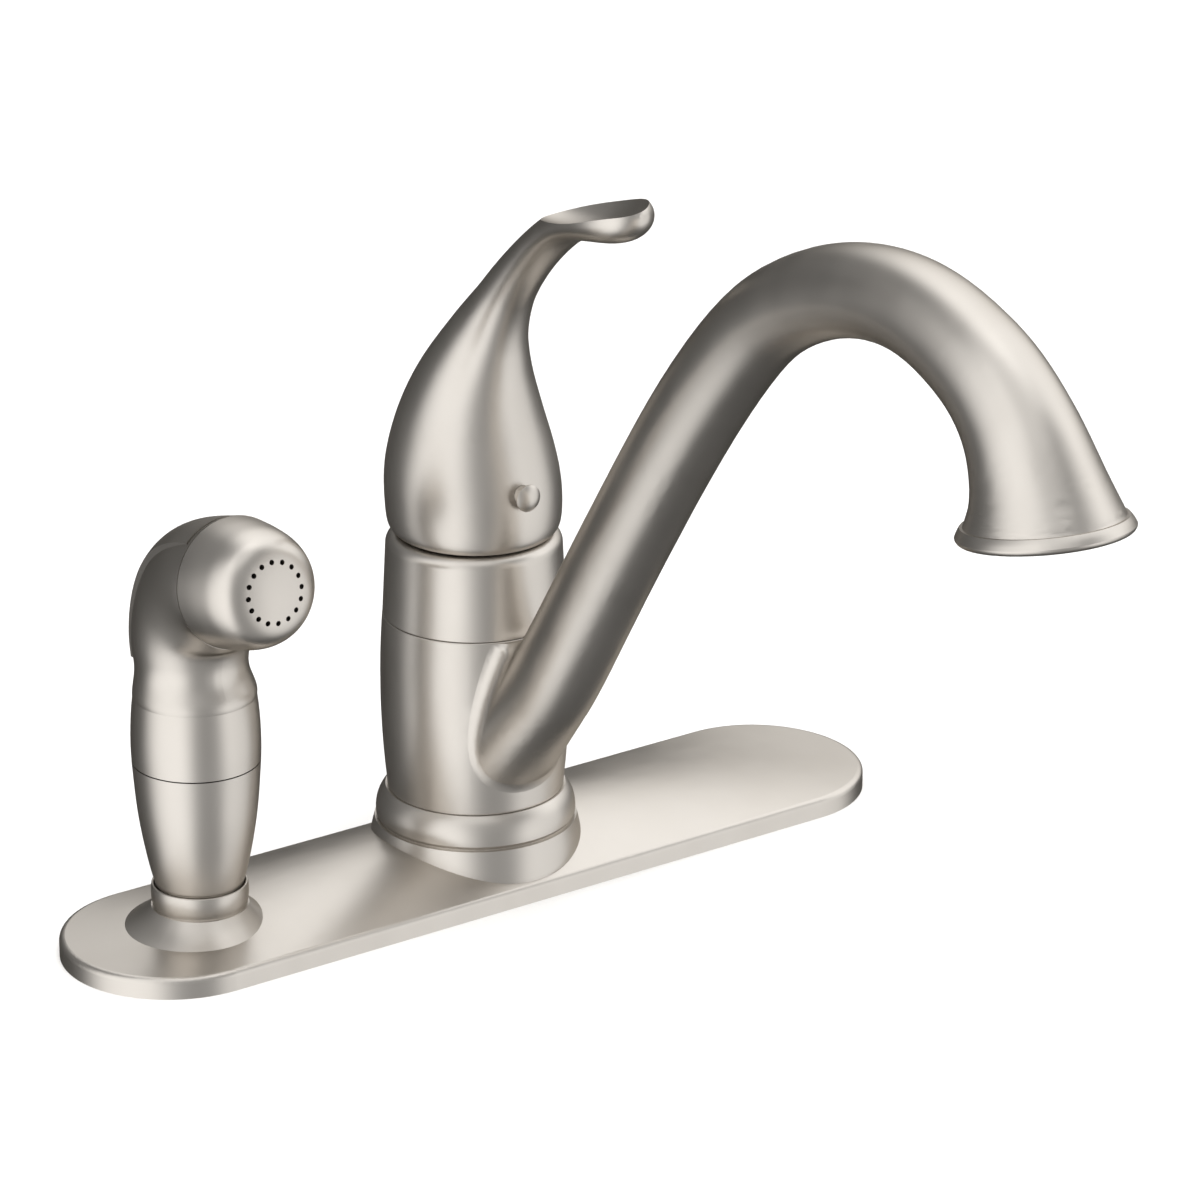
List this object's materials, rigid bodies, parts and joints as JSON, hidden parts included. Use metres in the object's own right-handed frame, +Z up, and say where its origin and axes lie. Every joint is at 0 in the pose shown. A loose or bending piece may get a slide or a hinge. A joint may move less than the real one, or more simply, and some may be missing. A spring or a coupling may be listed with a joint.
{
  "type": "side spray kitchen faucet",
  "caption": "Single-handle kitchen faucet on a crowned deck plate with a high swivelling spout, a lever handle and a side spray in its guide.",
  "frame": {"origin": "centre of the deck plate's underside on the sink deck, on the axis of the body and its shank", "axes": "+X to the user's right along the plate, -Y towards the user and the spout's rest direction, +Z up; -Z runs down the shank"},
  "size_m": [0.2918, 0.3245, 0.3751],
  "materials": {
    "satin_cover": "satin brushed nickel",
    "dark_plastic": "moulded, fine grain",
    "light_plastic": "moulded",
    "raw_brass": "machined",
    "copper_tube": "drawn copper",
    "steel": "turned",
    "black_rubber": "smooth rubber",
    "foam_rubber": "soft foam"
  },
  "bodies": {
    "base": {"deck_plate": "satin_cover", "support_plate": "dark_plastic", "deck_gasket": "foam_rubber", "valve_body": "raw_brass", "base_ring": "satin_cover", "spout_glide_ring": "light_plastic", "spout_seals": "black_rubber", "body_collar": "satin_cover", "bonnet_nut": "raw_brass", "snap_ring": "steel", "cartridge_sleeve": "light_plastic", "cartridge_seals": "black_rubber", "cartridge_clip": "steel", "diverter_spring": "steel", "diverter_plug": "raw_brass", "mounting_shank": "raw_brass", "mounting_washer": "dark_plastic", "mounting_nut": "raw_brass", "hot_supply_tube": "copper_tube", "cold_supply_tube": "copper_tube", "spray_outlet_tube": "copper_tube", "hot_inlet_fitting": "raw_brass", "cold_inlet_fitting": "raw_brass", "spray_outlet_fitting": "raw_brass", "spray_guide": "satin_cover", "guide_washer": "dark_plastic", "guide_nut": "raw_brass"},
    "spout_arm": {"spout": "satin_cover", "aerator_housing": "satin_cover", "aerator_screen": "light_plastic", "aerator_washer": "black_rubber"},
    "diverter": {"diverter_piston": "light_plastic"},
    "carrier": {"handle_carrier": "raw_brass", "lift_pin": "steel"},
    "lever_handle": {"handle": "satin_cover", "handle_adapter": "raw_brass", "handle_screw": "steel", "screw_cover": "satin_cover"},
    "stem": {"cartridge_stem": "steel"},
    "wand_inlet": {"spray_inlet": "raw_brass"},
    "wand": {"spray_grip": "satin_cover", "inlet_seal": "black_rubber", "wand_coupling": "light_plastic", "spray_head": "satin_cover", "lever_pin": "steel", "valve_spring": "steel", "nozzle_cap": "satin_cover", "nozzle_insert": "dark_plastic"},
    "thumb_lever": {"spray_lever": "satin_cover"},
    "spray_valve": {"valve_pin": "light_plastic"}
  },
  "joints": [
    {"name": "spout_swivel", "type": "hinge", "parent": "base", "child": "spout_arm", "pos_m": [0, 0, 0.057], "axis": [0, 0, 1], "range_deg": [-40, 220]},
    {"name": "diverter_slide", "type": "slide", "parent": "base", "child": "diverter", "axis": [0, 1, 0], "range_m": [0, 0.0025], "stiffness_N_per_m": 150},
    {"name": "handle_turn", "type": "hinge", "parent": "base", "child": "carrier", "pos_m": [0, 0, 0.116], "axis": [0, 0, 1], "range_deg": [-50, 50]},
    {"name": "handle_lift", "type": "hinge", "parent": "carrier", "child": "lever_handle", "pos_m": [0, 0.0198, 0.118], "axis": [-1, 0, 0], "range_deg": [0, 15]},
    {"name": "stem_lift", "type": "slide", "parent": "carrier", "child": "stem", "axis": [0, 0, 1], "range_m": [0, 0.0056]},
    {"name": "spray_lift", "type": "slide", "parent": "base", "child": "wand_inlet", "axis": [0, 0, 1], "range_m": [0, 0.06]},
    {"name": "spray_turn", "type": "hinge", "parent": "wand_inlet", "child": "wand", "pos_m": [-0.1016, 0, 0.02], "axis": [0, 0, 1], "range_deg": [-180, 180]},
    {"name": "thumb_press", "type": "hinge", "parent": "wand", "child": "thumb_lever", "pos_m": [-0.1016, -0.01181, 0.13513], "axis": [-1, 0, 0], "range_deg": [0, 4], "stiffness_Nm_per_rad": 1.5},
    {"name": "valve_push", "type": "slide", "parent": "wand", "child": "spray_valve", "axis": [0, -1, 0], "range_m": [0, 0.0025]}
  ],
  "couplings": [
    {"joint": "stem_lift", "follows": "handle_lift", "m_per_rad": 0.0208},
    {"joint": "valve_push", "follows": "thumb_press", "m_per_rad": 0.02913}
  ]
}
